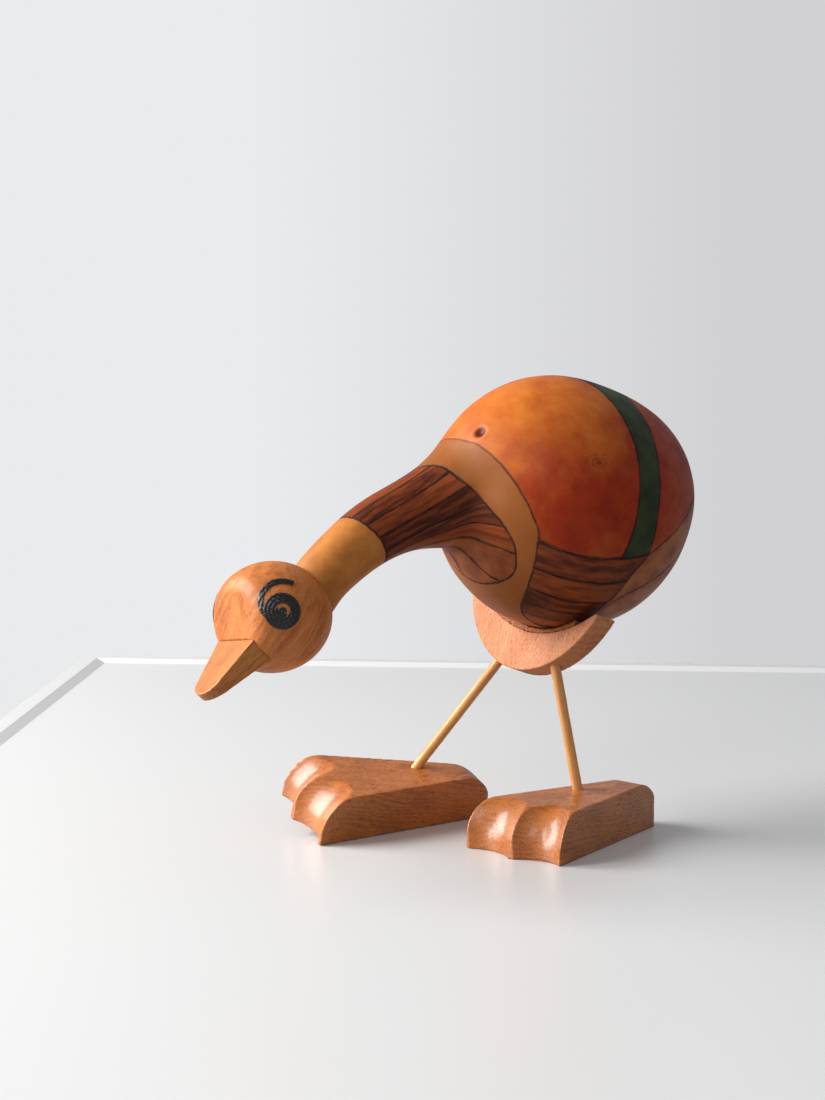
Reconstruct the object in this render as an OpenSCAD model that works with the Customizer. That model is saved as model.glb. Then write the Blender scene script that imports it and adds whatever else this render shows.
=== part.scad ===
// A duck made from a bottle gourd: turned wooden head, dowel legs and carved feet.
// The origin is on the tabletop under the middle of the bird's outline. +Z is up, the bird faces -Y
// and its left side is +X.

/* [Gourd] */
// Thickness of the dried gourd wall
gourd_wall = 4; // [3:0.5:5]
// Radius of the neck where it enters the head
neck_r = 17.5; // [16.5:0.5:18]
// Radius of the bulb's largest guide sphere
bulb_r = 79.5; // [78:0.5:80]

/* [Head] */
// Half the width of the turned head
head_r = 36; // [35:0.5:38]
// Half the height of the turned head
head_half_h = 33.4; // [33:0.2:35]
// How far the head leans over to its right side, in degrees
head_roll = 8.5; // [0:0.5:10]
// How far the head turns to its left, in degrees
head_yaw = 5.5; // [0:0.5:8]

/* [Beak] */
// How far the beak points down, in degrees
beak_pitch = 45; // [40:0.5:46]
// Width of the beak where it leaves the head
beak_root_w = 38; // [34:1:40]
// Width of the beak at its rounded tip
beak_tip_w = 24; // [18:1:26]
// Distance from the head's centre to the beak's tip
beak_reach = 68.6; // [64:0.2:71]
// Thickness of the beak at its root
beak_root_t = 17.5; // [14:0.5:18]

/* [Eyes] */
// Radius of the painted disc of an eye
eye_r = 10.8; // [8:0.2:11]
// How far the dried paint stands proud of the wood
paint_t = 0.8; // [0.5:0.1:1.2]

/* [Saddle] */
// Thickness of the board that the saddle is cut from
saddle_t = 15; // [12:0.5:18]
// Radius of the saddle's outer curve
saddle_r = 76; // [74:1:78]
// Height of the saddle from its lowest point to its cut tips, along the board
saddle_h = 44.5; // [42:0.5:46]
// How far the board leans back, in degrees
saddle_lean = 20; // [17:1:23]

/* [Legs] */
// Diameter of the leg and joining dowels (a quarter of an inch)
dowel_d = 6.35; // [6:0.05:6.5]
// Glue room left around a dowel, on the diameter
dowel_room = 0.15; // [0.1:0.05:0.3]
// How deep a leg sits in the saddle
leg_in_saddle = 8; // [6:0.5:9]
// How deep a leg sits in a foot
leg_in_foot = 12; // [8:1:16]

/* [Feet] */
// Length of a foot from its heel to the tip of its middle toe
foot_l = 135; // [130:1:140]
// Height of a foot
foot_h = 30; // [28:0.5:32]
// Width of a foot at its heel
heel_w = 17; // [15:1:20]
// How deep the flutes between the toes are cut
flute_depth = 7; // [5:0.5:8]
// How far the right foot is rolled onto its inner edge, in degrees
right_roll = 14.5; // [12:0.5:16]

/* [Hidden] */
$fn = 64;

// Colours
skin_colour = [0.72, 0.36, 0.14];
wood_colour = [0.76, 0.46, 0.24];
pale_wood_colour = [0.90, 0.68, 0.50];
dowel_colour = [0.93, 0.70, 0.44];
paint_colour = [0.08, 0.06, 0.06];
glue_colour = [0.45, 0.24, 0.10];

// Every place below is measured from the point of the tabletop under the saddle, which stands here
under_saddle = [-8.1, 65.2, 0];

// Radii of the breast and the tail, as shares of the bulb's
breast_share = 0.905;
tail_share = 0.855;
// Guide spheres of the gourd from the head end to the tail: x, y, z and radius
gourd_guides = [
    [0, -163, 154, neck_r], [0, -146, 173, neck_r], [0, -117, 193, 19.5], [0, -87, 204, 22],
    [0, -62, 210, 28], [1, -40, 216, 36], [3, -20, 220, 47.5], [6, -3, 220, 60.5],
    [8, 11, 215, breast_share * bulb_r], [9, 21, 205, bulb_r], [9, 41, 209, tail_share * bulb_r]];
bulb_guide = 9;
balls_per_guide = 6;
// The line inside the gourd that its rings are drawn around: x, y, z
gourd_axis = [
    [0, -163, 154], [0, -146, 173], [0, -117, 193], [0, -87, 204], [0, -64, 209], [2, -46, 211],
    [4, -28, 210], [6, -8, 208], [8, 14, 206]];
rings_per_step = 3;
gourd_sides = 40;
tail_rings = 10;

head_at = [0, -183.7, 148.3];
head_steps = 36;
beak_top_over_centre = 11.6;
beak_root_at = 27.4;
face_lean = 2;
beak_tip_t = 6;
beak_pin_d = 4;
beak_pin_l = 24;
beak_pin_drop = 6;
head_pin_l = 30;
head_pin_in_plug = 14;
plug_l = 22;
glue_gap = 0.6;
beak_room = 0.15;
neck_seat_room = 1;
eye_yaw = 25;
eye_lift = 6;
curl_r = 3.5;
curl_w = 2.2;
brow_w = 3.5;
brow_from_r = eye_r - 1.5;
brow_swing = 9.2;
brow_from_a = 195;
brow_turn = 135;
brow_steps = 16;

saddle_at = [0, -9.1, 101.4];
saddle_curve_x = -1.5;
saddle_seat_r = 105;
saddle_seat_x = 4;
saddle_seat_low = 25.3;
glue_squeeze = 0.8;
glue_reach = 48;
glue_top = 39;

leg_top_left = [32, 0.4, 105.5];
leg_foot_left = [45, 8.5, 30];
leg_top_right = [-27.5, -0.3, 103.6];
leg_foot_right = [-45.6, -54, 34.5];

toe_angles = [0, 17.3, 32];
toe_round = 22;
heel_round = 24;
foot_axis_angle = 13;
left_heel_at = [33.5, 67.4, 0];
right_heel_at = [-31.9, -7, 0];
right_toe_in = 6;
heel_corner = 5;
outer_edge_angle = 25.7;
flute_clear = 2;

// ---- small helpers ----
function unit(v) = v / norm(v);
function xyz(p) = [p[0], p[1], p[2]];
function spline(a, b, c, d, t) =
    0.5 * (2 * b + (c - a) * t + (2 * a - 5 * b + 4 * c - d) * t * t + (3 * b - a - 3 * c + d) * t * t * t);

// Stands along the line from a to b, with +Z of its children pointing to b
module along(a, b) {
    v = b - a;
    translate(a)
        rotate([0, acos(v[2] / norm(v)), atan2(v[1], v[0])])
            children();
}

// Extrudes a side view (its x becomes Y, its y becomes Z) across the width, centred on X = 0
module across(width) {
    translate([-width / 2, 0, 0])
        rotate([90, 0, 90])
            linear_extrude(width) children();
}

// ---- gourd ----
// A smooth path through the rows of a list, with the given number of steps between two rows
function row(list, i) =
    i < 0 ? 2 * list[0] - list[1]
    : i >= len(list) ? 2 * list[len(list) - 1] - list[len(list) - 2]
    : list[i];
function smooth_path(list, steps) = [
    for (i = [0 : len(list) - 2], k = [0 : steps - 1])
        spline(row(list, i - 1), row(list, i), row(list, i + 1), row(list, i + 2), k / steps),
    list[len(list) - 1]];
balls = smooth_path(gourd_guides, balls_per_guide);
axis_path = smooth_path(gourd_axis, rings_per_step);
path_end = len(axis_path) - 1;
function path_dir(i) = unit(axis_path[min(i + 1, path_end)] - axis_path[max(i - 1, 0)]);

// How far a line from p along v runs before it leaves the last of the guide spheres
function reach(p, v, inset) = max([
    for (b = balls)
        let(m = xyz(b) - p, t = m * v, room = pow(b[3] - inset, 2) - m * m + t * t)
        room < 0 ? 0 : t + sqrt(room)]);

// One ring of the skin: its rays leave p at the given angle to the direction dir
function skin_ring(p, dir, tilt, inset) =
    let(e = unit([1, 0, 0] - dir * dir[0]), f = cross(dir, e))
    [for (k = [0 : gourd_sides - 1])
        let(a = 360 * k / gourd_sides, v = cos(tilt) * dir + sin(tilt) * (cos(a) * e + sin(a) * f))
        p + reach(p, v, inset) * v];
function skin_rings(inset) = [
    for (i = [0 : path_end]) skin_ring(axis_path[i], path_dir(i), 90, inset),
    for (k = [1 : tail_rings])
        skin_ring(axis_path[path_end], path_dir(path_end), 90 * (1 - k / (tail_rings + 1)), inset)];
function tail_tip(inset) =
    axis_path[path_end] + reach(axis_path[path_end], path_dir(path_end), inset) * path_dir(path_end);

module gourd_shell() {
    rings = path_end + 1 + tail_rings;
    n = gourd_sides;
    inner = rings * n + 1;
    outer_points = [for (ring = skin_rings(0)) each ring, tail_tip(0)];
    inner_points = [for (ring = skin_rings(gourd_wall)) each ring, tail_tip(gourd_wall)];
    function quad_out(i, k) =
        let(a = i * n + k, b = i * n + (k + 1) % n)
        [[a, a + n, b + n], [a, b + n, b]];
    function flip(t, shift) = [t[0] + shift, t[2] + shift, t[1] + shift];
    walls = [for (i = [0 : rings - 2], k = [0 : n - 1]) each quad_out(i, k)];
    tail = [for (k = [0 : n - 1]) [(rings - 1) * n + k, rings * n, (rings - 1) * n + (k + 1) % n]];
    mouth = [
        for (k = [0 : n - 1])
            let(m = (k + 1) % n)
            each [[k, m, inner + m], [k, inner + m, inner + k]]];
    skin = concat(walls, tail);
    color(skin_colour)
        polyhedron(concat(outer_points, inner_points),
                   concat(skin, [for (t = skin) flip(t, inner)], mouth));
}

// The neck's end and the direction from there back into the gourd
neck_end = xyz(gourd_guides[0]);
neck_dir = path_dir(0);
neck_seat_dir = unit(xyz(gourd_guides[2]) - neck_end);

module neck_plug() {
    color(wood_colour)
        difference() {
            along(neck_end, neck_end + neck_dir)
                cylinder(h = plug_l, r = neck_r - gourd_wall - glue_gap);
            head_pin_place(dowel_room);
        }
}

// ---- head ----
module head_frame() {
    translate(head_at)
        rotate([0, 0, head_yaw])
            rotate([0, -head_roll, 0])
                children();
}

// The turned ball, a little wider than it is high, grown by the given amount
module head_form(grow = 0) {
    rotate_extrude($fn = 96)
        polygon([for (k = [0 : head_steps])
            let(a = -90 + 180 * k / head_steps)
            [(head_r + grow) * cos(a), (head_half_h + grow) * sin(a)]]);
}

module beak_frame() {
    rotate([beak_pitch, 0, 0])
        translate([0, 0, beak_top_over_centre])
            children();
}

// Outline of the beak from above, pointing along -Y, grown sideways by the given room
module beak_plan(room = 0) {
    tip_r = beak_tip_w / 2 + room;
    tip_y = beak_tip_w / 2 - beak_reach;
    root = beak_root_w / 2 + room;
    polygon([
        for (a = [0 : 15 : 180]) [tip_r * cos(a), tip_y - tip_r * sin(a)],
        [-root, room - beak_root_at],
        [root, room - beak_root_at]]);
}

// Side view of the beak: y along the beak, z up
module beak_side(room = 0) {
    polygon([[-beak_root_at + room, 0], [-beak_reach - room, 0], [-beak_reach - room, -beak_tip_t - room],
             [-beak_root_at + room, -beak_root_t - room]]);
}

module beak_form(room = 0) {
    intersection() {
        translate([0, 0, -beak_root_t * 1.5])
            linear_extrude(beak_root_t * 2) beak_plan(room);
        across(beak_root_w * 2) beak_side(room);
    }
}

// What is sawn off the front of the head: all that lies above the beak's top and before a flat
// face, which rises from the root of the beak and leans back a little
module face_cut(grow = 0) {
    reach = 2 * head_r;
    face_angle = beak_pitch + 90 + face_lean;
    across(2 * reach)
        translate([beak_room - beak_root_at - grow / tan(face_angle / 2), grow])
            polygon([[0, 0],
                     for (k = [0 : 3]) reach * [-cos(face_angle * k / 3), sin(face_angle * k / 3)]]);
}

// The ball with its flat face, grown by the given amount, to lay paint on
module faced_ball(grow = 0) {
    difference() {
        head_form(grow);
        beak_frame() face_cut(grow);
    }
}

module beak_pin_place(room = 0) {
    translate([0, -beak_root_at + beak_pin_l / 2 + room, -beak_pin_drop])
        rotate([90, 0, 0])
            cylinder(h = beak_pin_l + 2 * room, d = beak_pin_d + room);
}

module head() {
    color(wood_colour)
        difference() {
            head_frame()
                difference() {
                    head_form();
                    beak_frame() {
                        face_cut();
                        beak_form(beak_room);
                        beak_pin_place(dowel_room);
                    }
                }
            along(neck_end - glue_gap * neck_seat_dir, neck_end + neck_seat_dir)
                cylinder(h = 2 * head_r, r = neck_r + neck_seat_room);
            head_pin_place(dowel_room);
        }
}

module beak() {
    color(wood_colour)
        head_frame()
            beak_frame()
                difference() {
                    beak_form();
                    beak_pin_place(dowel_room);
                }
}

module beak_pin() {
    color(dowel_colour)
        head_frame()
            beak_frame()
                beak_pin_place();
}

// The drilled line of the dowel that joins the head to the plug in the neck
module head_pin_place(room = 0) {
    start = neck_end + (head_pin_in_plug + room) * neck_dir;
    along(start, start - neck_dir)
        cylinder(h = head_pin_l + 2 * room, d = dowel_d + room);
}

module head_pin() {
    color(dowel_colour)
        head_pin_place();
}

// ---- eyes ----
// A painted stroke along points given by their distance from the eye's centre and their angle
module stroke(width, spots) {
    function spot(p, shift) = (p[0] + shift) * [cos(p[1]), sin(p[1])];
    last = len(spots) - 1;
    polygon([
        for (k = [0 : last]) spot(spots[k], width / 2),
        for (k = [last : -1 : 0]) spot(spots[k], -width / 2)]);
}

// The bare curl inside the disc, and the brow: the spiral's loose end, which winds away from the disc
bare_curl = [for (a = [150 : -15 : -45]) [curl_r, a]];
brow = [for (k = [0 : brow_steps]) [brow_from_r + brow_swing * sin(90 * k / brow_steps),
                                    brow_from_a - brow_turn * k / brow_steps]];

module eye_plan() {
    difference() {
        circle(r = eye_r);
        stroke(curl_w, bare_curl);
    }
    stroke(brow_w, brow);
}

module eye_paint() {
    difference() {
        intersection() {
            faced_ball(paint_t);
            rotate([0, 0, -eye_yaw])
                rotate([0, -eye_lift, 0])
                    rotate([90, 0, 90])
                        linear_extrude(2 * head_r) eye_plan();
        }
        faced_ball();
    }
}

module left_eye() {
    color(paint_colour)
        head_frame()
            eye_paint();
}

module right_eye() {
    color(paint_colour)
        head_frame()
            mirror([1, 0, 0])
                eye_paint();
}

// ---- saddle ----
// The board's own frame: X across, Y up the board, from its front face (z = 0) back into the board (z < 0)
module board_frame() {
    translate(saddle_at)
        rotate([90 - saddle_lean, 0, 0])
            children();
}

module seat_circle() {
    translate([saddle_seat_x, saddle_seat_low + saddle_seat_r])
        circle(r = saddle_seat_r, $fn = 128);
}

module saddle_plan() {
    difference() {
        translate([saddle_curve_x, saddle_r]) circle(r = saddle_r, $fn = 128);
        seat_circle();
        translate([-2 * saddle_r, saddle_h]) square([4 * saddle_r, 4 * saddle_r]);
    }
}

module saddle() {
    color(pale_wood_colour)
        difference() {
            board_frame()
                translate([0, 0, -saddle_t])
                    linear_extrude(saddle_t) saddle_plan();
            leg_place(leg_foot_left, leg_top_left, dowel_room);
            leg_place(leg_foot_right, leg_top_right, dowel_room);
        }
}

module saddle_glue() {
    color(glue_colour)
        difference() {
            board_frame()
                translate([0, 0, -saddle_t - glue_squeeze])
                    linear_extrude(saddle_t + 2 * glue_squeeze)
                        intersection() {
                            seat_circle();
                            translate([-glue_reach, 0]) square([2 * glue_reach, glue_top]);
                        }
            translate(xyz(gourd_guides[bulb_guide])) sphere(r = bulb_r + dowel_room, $fn = 128);
        }
}

// ---- legs ----
module leg_place(foot_point, top_point, room = 0) {
    dir = unit(top_point - foot_point);
    start = foot_point - (leg_in_foot + room) * dir;
    along(start, top_point)
        cylinder(h = norm(top_point - foot_point) + leg_in_foot + leg_in_saddle + 2 * room,
                 d = dowel_d + room);
}

module left_leg() {
    color(dowel_colour) leg_place(leg_foot_left, leg_top_left);
}

module right_leg() {
    color(dowel_colour) leg_place(leg_foot_right, leg_top_right);
}

// ---- feet ----
// A foot stands with its heel's inner corner at the origin, +X outward and +Y forward.
module foot_plan() {
    function corner_at(x, a) = [x, heel_corner] + heel_corner * [cos(a), sin(a)];
    run = 2 * foot_l;
    polygon([
        for (a = [180 : 15 : 270]) corner_at(heel_corner, a),
        for (a = [270 : 15 : 345]) corner_at(heel_w - heel_corner, a),
        [heel_w + run * sin(outer_edge_angle), run * cos(outer_edge_angle)],
        [0, run]]);
}

// Upper quarter of a plate of height foot_h whose far edge at x = reach is rounded over
module rounded_edge(reach, round_r) {
    intersection() {
        union() {
            square([reach - round_r, foot_h]);
            translate([reach - round_r, foot_h - round_r]) circle(r = round_r);
            square([reach, foot_h - round_r]);
        }
        square([reach, foot_h]);
    }
}

// Side view with the heel rounded over, from the back of the heel at x = 0 towards -x
module rounded_heel() {
    translate([-2 * foot_l, 0]) rounded_edge(2 * foot_l, heel_round);
}

// One flute: a groove that runs up the front of the foot and fades out on its top
module flute(from_a, to_a) {
    half_w = foot_l * sin((to_a - from_a) / 2);
    depth = flute_depth + half_w * half_w / (2 * foot_l);
    tube_r = (half_w * half_w + depth * depth) / (2 * depth);
    bend_r = foot_h + flute_clear;
    rotate([0, 0, -(from_a + to_a) / 2])
        translate([0, foot_l - flute_depth - bend_r, 0])
            rotate([90, 0, 90])
                rotate_extrude(angle = 90)
                    translate([bend_r + tube_r, 0]) circle(r = tube_r);
}

module foot() {
    difference() {
        intersection() {
            linear_extrude(foot_h) foot_plan();
            rotate_extrude($fn = 128) rounded_edge(foot_l, toe_round);
            rotate([0, 0, -foot_axis_angle])
                across(4 * foot_l) mirror([1, 0]) rounded_heel();
        }
        for (i = [0 : len(toe_angles) - 2])
            flute(toe_angles[i], toe_angles[i + 1]);
    }
}

module left_foot() {
    color(wood_colour)
        difference() {
            translate(left_heel_at) mirror([0, 1, 0]) foot();
            leg_place(leg_foot_left, leg_top_left, dowel_room);
        }
}

module right_foot() {
    color(wood_colour)
        difference() {
            translate(right_heel_at)
                rotate([0, 0, 180 + right_toe_in])
                    rotate([0, -right_roll, 0])
                        foot();
            leg_place(leg_foot_right, leg_top_right, dowel_room);
        }
}

// Stands a piece in its place over the origin
module bird() {
    translate(under_saddle) children();
}

bird() gourd_shell();
bird() neck_plug();
bird() head();
bird() head_pin();
bird() beak();
bird() beak_pin();
bird() left_eye();
bird() right_eye();
bird() saddle();
bird() saddle_glue();
bird() left_leg();
bird() right_leg();
bird() left_foot();
bird() right_foot();
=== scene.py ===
import math

import bmesh
import bpy
import numpy as np
from mathutils import Euler, Matrix, Vector, noise


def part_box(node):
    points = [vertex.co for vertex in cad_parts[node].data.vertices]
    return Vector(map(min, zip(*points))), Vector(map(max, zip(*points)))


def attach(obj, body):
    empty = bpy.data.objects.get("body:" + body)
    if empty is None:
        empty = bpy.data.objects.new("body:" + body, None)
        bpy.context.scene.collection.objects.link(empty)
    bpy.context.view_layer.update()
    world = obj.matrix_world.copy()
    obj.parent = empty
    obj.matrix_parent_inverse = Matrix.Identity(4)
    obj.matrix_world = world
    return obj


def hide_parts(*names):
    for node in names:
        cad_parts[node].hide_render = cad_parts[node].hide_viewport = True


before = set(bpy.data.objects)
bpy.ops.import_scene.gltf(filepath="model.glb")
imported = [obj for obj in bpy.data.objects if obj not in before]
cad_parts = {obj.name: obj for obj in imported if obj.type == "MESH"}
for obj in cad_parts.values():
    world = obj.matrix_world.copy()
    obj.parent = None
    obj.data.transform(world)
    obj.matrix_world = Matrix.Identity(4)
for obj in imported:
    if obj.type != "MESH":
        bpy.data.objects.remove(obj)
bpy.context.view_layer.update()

MM = 0.001
WELD = 0.002 * MM


# ---- colours ----
def srgb(red, green, blue):
    """A colour given as it looks on a screen, 0 to 255, in the linear values that shaders take."""
    def linear(c):
        c /= 255
        return c / 12.92 if c <= 0.04045 else ((c + 0.055) / 1.055) ** 2.4
    return (linear(red), linear(green), linear(blue), 1.0)


def turned(*angles):
    """Angles given in degrees, in radians."""
    return tuple(math.radians(a) for a in angles)


# ---- mesh helpers ----
def points_of(mesh):
    flat = np.empty(len(mesh.vertices) * 3)
    mesh.vertices.foreach_get("co", flat)
    return flat.reshape(-1, 3)


def normals_of(mesh):
    flat = np.empty(len(mesh.vertices) * 3, np.float32)
    mesh.vertices.foreach_get("normal", flat)
    return flat.reshape(-1, 3).astype(float)


def move_points(mesh, points):
    mesh.vertices.foreach_set("co", points.astype(np.float32).ravel())
    mesh.update()


def store(mesh, name, values):
    """Keeps one number per vertex on the mesh, for its material to read."""
    layer = mesh.attributes.new(name, "FLOAT", "POINT")
    layer.data.foreach_set("value", np.asarray(values, np.float32))


def lumps(points, size, seed):
    """Smooth noise of about -1 to 1 at each point; size is the width of one lump in metres."""
    shift = Vector((seed * 7.3, seed * 3.1, seed * 5.7))
    return np.array([noise.noise(Vector(p) / size + shift) for p in points])


def long_axis(points):
    """The direction in which a set of points is longest."""
    return np.linalg.svd(points - points.mean(0), full_matrices=False)[2][0]


def add_object(name, data):
    obj = bpy.data.objects.new(name, data)
    bpy.context.scene.collection.objects.link(obj)
    return obj


def settle(obj):
    """Turns an object's modifiers into plain mesh."""
    graph = bpy.context.evaluated_depsgraph_get()
    graph.update()
    mesh = bpy.data.meshes.new_from_object(obj.evaluated_get(graph))
    obj.modifiers.clear()
    obj.data = mesh


def finish_piece(obj, node, material):
    """Gives a piece its material and has it stand for its CAD node."""
    obj.data.materials.clear()
    obj.data.materials.append(material)
    obj.data.shade_smooth()
    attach(obj, "root")
    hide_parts(node)


def welded_copy(node):
    """A copy of a CAD node's mesh whose faces share their corners."""
    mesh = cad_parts[node].data.copy()
    bm = bmesh.new()
    bm.from_mesh(mesh)
    bmesh.ops.remove_doubles(bm, verts=bm.verts, dist=WELD)
    bm.to_mesh(mesh)
    bm.free()
    return mesh


def eased_copy(node, name, cell, rounds):
    """A copy of a CAD node with even faces of size cell, its edges eased as by rounds of sandpaper."""
    obj = add_object(name, welded_copy(node))
    remesh = obj.modifiers.new("even", "REMESH")
    remesh.mode = "VOXEL"
    remesh.voxel_size = cell
    smooth = obj.modifiers.new("ease", "SMOOTH")
    smooth.factor = 0.5
    smooth.iterations = rounds
    settle(obj)
    return obj


# ---- shader helpers ----
class Shader:
    """Short calls for building one node material."""

    def __init__(self, name):
        self.material = bpy.data.materials.new(name)
        self.material.use_nodes = True
        self.tree = self.material.node_tree
        self.tree.nodes.clear()

    def node(self, kind, inputs=None, **settings):
        made = self.tree.nodes.new("ShaderNode" + kind)
        for key, value in settings.items():
            setattr(made, key, value)
        for key, value in (inputs or {}).items():
            self.feed(made.inputs[key], value)
        return made

    def feed(self, socket, value):
        if isinstance(value, bpy.types.NodeSocket):
            self.tree.links.new(value, socket)
        elif value is not None:
            socket.default_value = value

    def math(self, operation, a, b=None, c=None, clamp=False):
        made = self.node("Math", operation=operation, use_clamp=clamp)
        for socket, value in zip(made.inputs, (a, b, c)):
            self.feed(socket, value)
        return made.outputs[0]

    def vector(self, operation, a, b=None):
        made = self.node("VectorMath", operation=operation)
        for socket, value in zip(made.inputs, (a, b)):
            self.feed(socket, value)
        return made.outputs[0]

    def mix(self, share, a, b, blend="MIX"):
        made = self.node("MixRGB", blend_type=blend)
        for socket, value in zip(made.inputs, (share, a, b)):
            self.feed(socket, value)
        return made.outputs[0]

    def step(self, value, low, high, out_low=0.0, out_high=1.0):
        """Runs smoothly from out_low to out_high while value runs from low to high."""
        made = self.node("MapRange", interpolation_type="SMOOTHSTEP")
        for socket, number in zip(made.inputs, (value, low, high, out_low, out_high)):
            self.feed(socket, number)
        return made.outputs[0]

    def noise(self, where, scale, detail=3.0, roughness=0.5):
        settings = {"Vector": where, "Scale": scale, "Detail": detail, "Roughness": roughness}
        return self.node("TexNoise", settings).outputs[0]

    def place(self, turn=(0, 0, 0), shift=(0, 0, 0), stretch=(1, 1, 1)):
        """Position in millimetres, in a frame that is moved to shift (metres) and turned."""
        where = self.node("TexCoord").outputs["Object"]
        frame_turn = Euler(turn).to_matrix().inverted().to_euler()
        moved = self.vector("SUBTRACT", where, shift)
        turned = self.node("Mapping", {"Vector": moved, "Rotation": frame_turn}).outputs[0]
        return self.node("Mapping", {"Vector": turned, "Scale": [s / MM for s in stretch]}).outputs[0]

    def attribute(self, name):
        return self.node("Attribute", attribute_name=name).outputs["Fac"]

    def finish(self, colour, roughness, height=None, depth=0.1 * MM, **extra):
        """Ends the material with a Principled surface; height is a 0 to 1 relief of the given depth."""
        surface = self.node("BsdfPrincipled", {"Base Color": colour, "Roughness": roughness})
        for key, value in extra.items():
            self.feed(surface.inputs[key.replace("_", " ")], value)
        if height is not None:
            bump = self.node("Bump", {"Height": height, "Distance": depth, "Strength": 1.0})
            self.feed(surface.inputs["Normal"], bump.outputs[0])
        output = self.node("OutputMaterial")
        self.tree.links.new(surface.outputs[0], output.inputs[0])
        return self.material


# ---- wood ----
# How far growth rings wander, in ring spacings
RING_WANDER = 7.0
# How much shorter each pattern is along the fibres than across them
WANDER_ALONG = 0.2
FIBRE_ALONG = 0.04
BROAD_ALONG = 0.3
PORE_ALONG = 0.06
WOOD_RELIEF = 0.1 * MM


def wood(name, pale, dark, pore, turn, heart, ring=3.0, ring_share=0.4, gloss=0.35, pore_share=0.6,
         coat=0.15):
    """Varnished wood. Its fibres run along X of a frame turned by the angles given, and its growth
    rings lie around a line through heart, a point in metres; ring is their spacing in millimetres.
    ring_share and pore_share say how clearly rings and open pores show; a low gloss is a shiny one."""
    s = Shader(name)
    where = s.place(turn, heart)
    wander = s.noise(s.place(turn, heart, (WANDER_ALONG, 1, 1)), 0.04, 3.0)
    across = s.node("SeparateXYZ", {"Vector": where})
    radius = s.math("SQRT", s.math("ADD", s.math("POWER", across.outputs[1], 2.0),
                                   s.math("POWER", across.outputs[2], 2.0)))
    radius = s.math("ADD", radius, s.math("MULTIPLY", wander, RING_WANDER * ring))
    phase = s.math("FRACT", s.math("DIVIDE", radius, ring))

    # Each ring darkens slowly and ends sharply, and the rings are stronger in some places
    late = s.math("MULTIPLY", s.step(phase, 0.1, 0.85), s.step(phase, 1.0, 0.88))
    strength = s.step(s.noise(where, 0.06, 2.0), 0.35, 0.65, 0.35, 1.0)
    late = s.math("MULTIPLY", late, strength)
    fibre = s.noise(s.place(turn, heart, (FIBRE_ALONG, 1, 1)), 1.3, 5.0, 0.7)
    broad = s.noise(s.place(turn, heart, (BROAD_ALONG, 1, 1)), 0.06, 3.0)
    fibre_share = 0.8 - 0.6 * ring_share
    tone = s.math("ADD", s.math("MULTIPLY", late, ring_share),
                  s.math("MULTIPLY", s.step(fibre, 0.3, 0.72), fibre_share))
    tone = s.math("ADD", tone, s.step(broad, 0.35, 0.68, -0.2, 0.22), clamp=True)
    colour = s.mix(tone, pale, dark)

    vessels = s.noise(s.place(turn, heart, (PORE_ALONG, 1.5, 1.5)), 1.0, 1.0, 0.5)
    open_pores = s.step(vessels, 0.61, 0.67)
    colour = s.mix(s.math("MULTIPLY", open_pores, pore_share), colour, pore)
    relief = s.math("SUBTRACT", s.math("MULTIPLY", fibre, 0.4), s.math("MULTIPLY", open_pores, 0.6))
    sheen = s.math("ADD", s.step(fibre, 0.3, 0.7, gloss - 0.05, gloss + 0.08),
                   s.math("MULTIPLY", open_pores, 0.2))
    return s.finish(colour, sheen, relief, WOOD_RELIEF, Specular_IOR_Level=0.25 + coat, Coat_Weight=coat,
                    Coat_Roughness=0.16)


# ---- gourd: where things are ----
gourd_low, gourd_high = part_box("gourd_shell")
# The bulb's middle lies this many of its half widths below its top and in front of its back
BULB_TOP = 1.033
BULB_BACK = 1.107
BULB_R = (gourd_high.x - gourd_low.x) / 2
BULB = Vector(((gourd_low.x + gourd_high.x) / 2, gourd_high.y - BULB_BACK * BULB_R,
               gourd_high.z - BULB_TOP * BULB_R))
# An edge sharper than this parts the outer skin from the cut rim of the neck
RIM_ANGLE = math.radians(65)
SKIN_LEVELS = 3

# The edges of the gourd's panels, as directions seen from the middle of the bulb: degrees round from
# the front to the bird's left, and degrees up. The bib is the brown panel on the front of the neck
# and breast, and its edge is a closed loop; all the others are on the left side and are mirrored
BIB_EDGE = [(0, 17), (12, 12.5), (20, 4.5), (29, -4), (33.5, -13), (31.5, -24), (25, -29.5), (14, -33),
            (2, -33), (-10, -29), (-21, -18), (-22, -6), (-17, 5), (-9, 14)]
COLLAR_EDGE = [(0, 30), (13, 28.5), (23, 24), (31, 17), (39, 7), (43.5, -4), (43.7, -10)]
BACK_EDGE = [(43.7, -10), (49, -12), (57, -15.5), (67, -18), (78, -19), (90, -19.2), (99, -18), (107, -14),
             (118, -8.5), (129, -3), (142, 3), (160, 8), (180, 10)]
WING_FRONT = [(43.7, -9.5), (42, -19), (39.5, -28), (34, -38), (27.5, -47), (24, -57), (27, -70)]
WING_REAR = [(60, -72), (76, -58), (83, -46), (87, -40), (90, -32), (94, -25), (98.5, -19)]
RUMP_EDGE = [(84, -47), (95, -40.5), (108, -35), (125, -26), (145, -17), (180, -8)]
# The wing's upper edge is the back's edge up to this key
WING_TOP_KEYS = 7
# The green band's edges, each as the direction across it and a point on it, in millimetres from the
# middle of the bulb
BAND_FRONT = ((0.26, -0.935, 0.24), (60, 0.9, 31))
BAND_REAR = ((0.05, -0.977, 0.21), (62, 21, 24))
# How softly the band turns over at the bird's middle plane, in millimetres
BAND_ROUNDING = 22
# The line round the neck where the bib starts
RING_AT = BULB + Vector((1.7, -144.2, -10.7)) * MM
RING_ACROSS = Vector((0.2, -0.81, -0.55)).normalized()
# The bib's lengthwise lines fan out round this axis
BIB_AXIS_FROM = BULB + Vector((-9.0, -143.0, -15.0)) * MM
BIB_AXIS = Vector((0, 0.958, 0.286)).normalized()
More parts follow.
